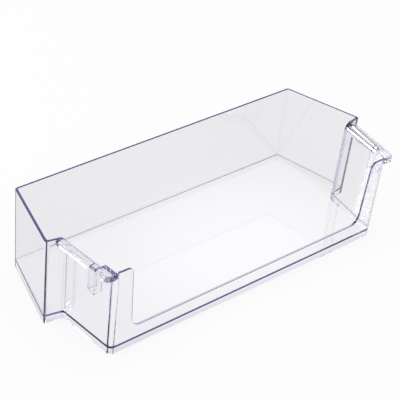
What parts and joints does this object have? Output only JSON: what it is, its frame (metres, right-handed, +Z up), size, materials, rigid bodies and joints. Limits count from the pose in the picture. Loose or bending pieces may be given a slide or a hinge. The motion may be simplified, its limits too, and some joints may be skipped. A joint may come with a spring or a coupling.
{
  "type": "fridge door shelf",
  "caption": "Clear one-piece tray that hangs in a fridge door, with a tall front, sides stepped in at the rear, hooked rims and a low back between two ears.",
  "frame": {"origin": "middle of the shelf's box on the surface that it stands on", "axes": "+X along the shelf's width, +Y from the tall front to the low back at the door liner, +Z up"},
  "size_m": [0.4014, 0.1614, 0.1015],
  "materials": {
    "clear_plastic": "clear moulded polystyrene, polished"
  },
  "bodies": {
    "root": {"door_shelf": "clear_plastic"}
  },
  "joints": []
}
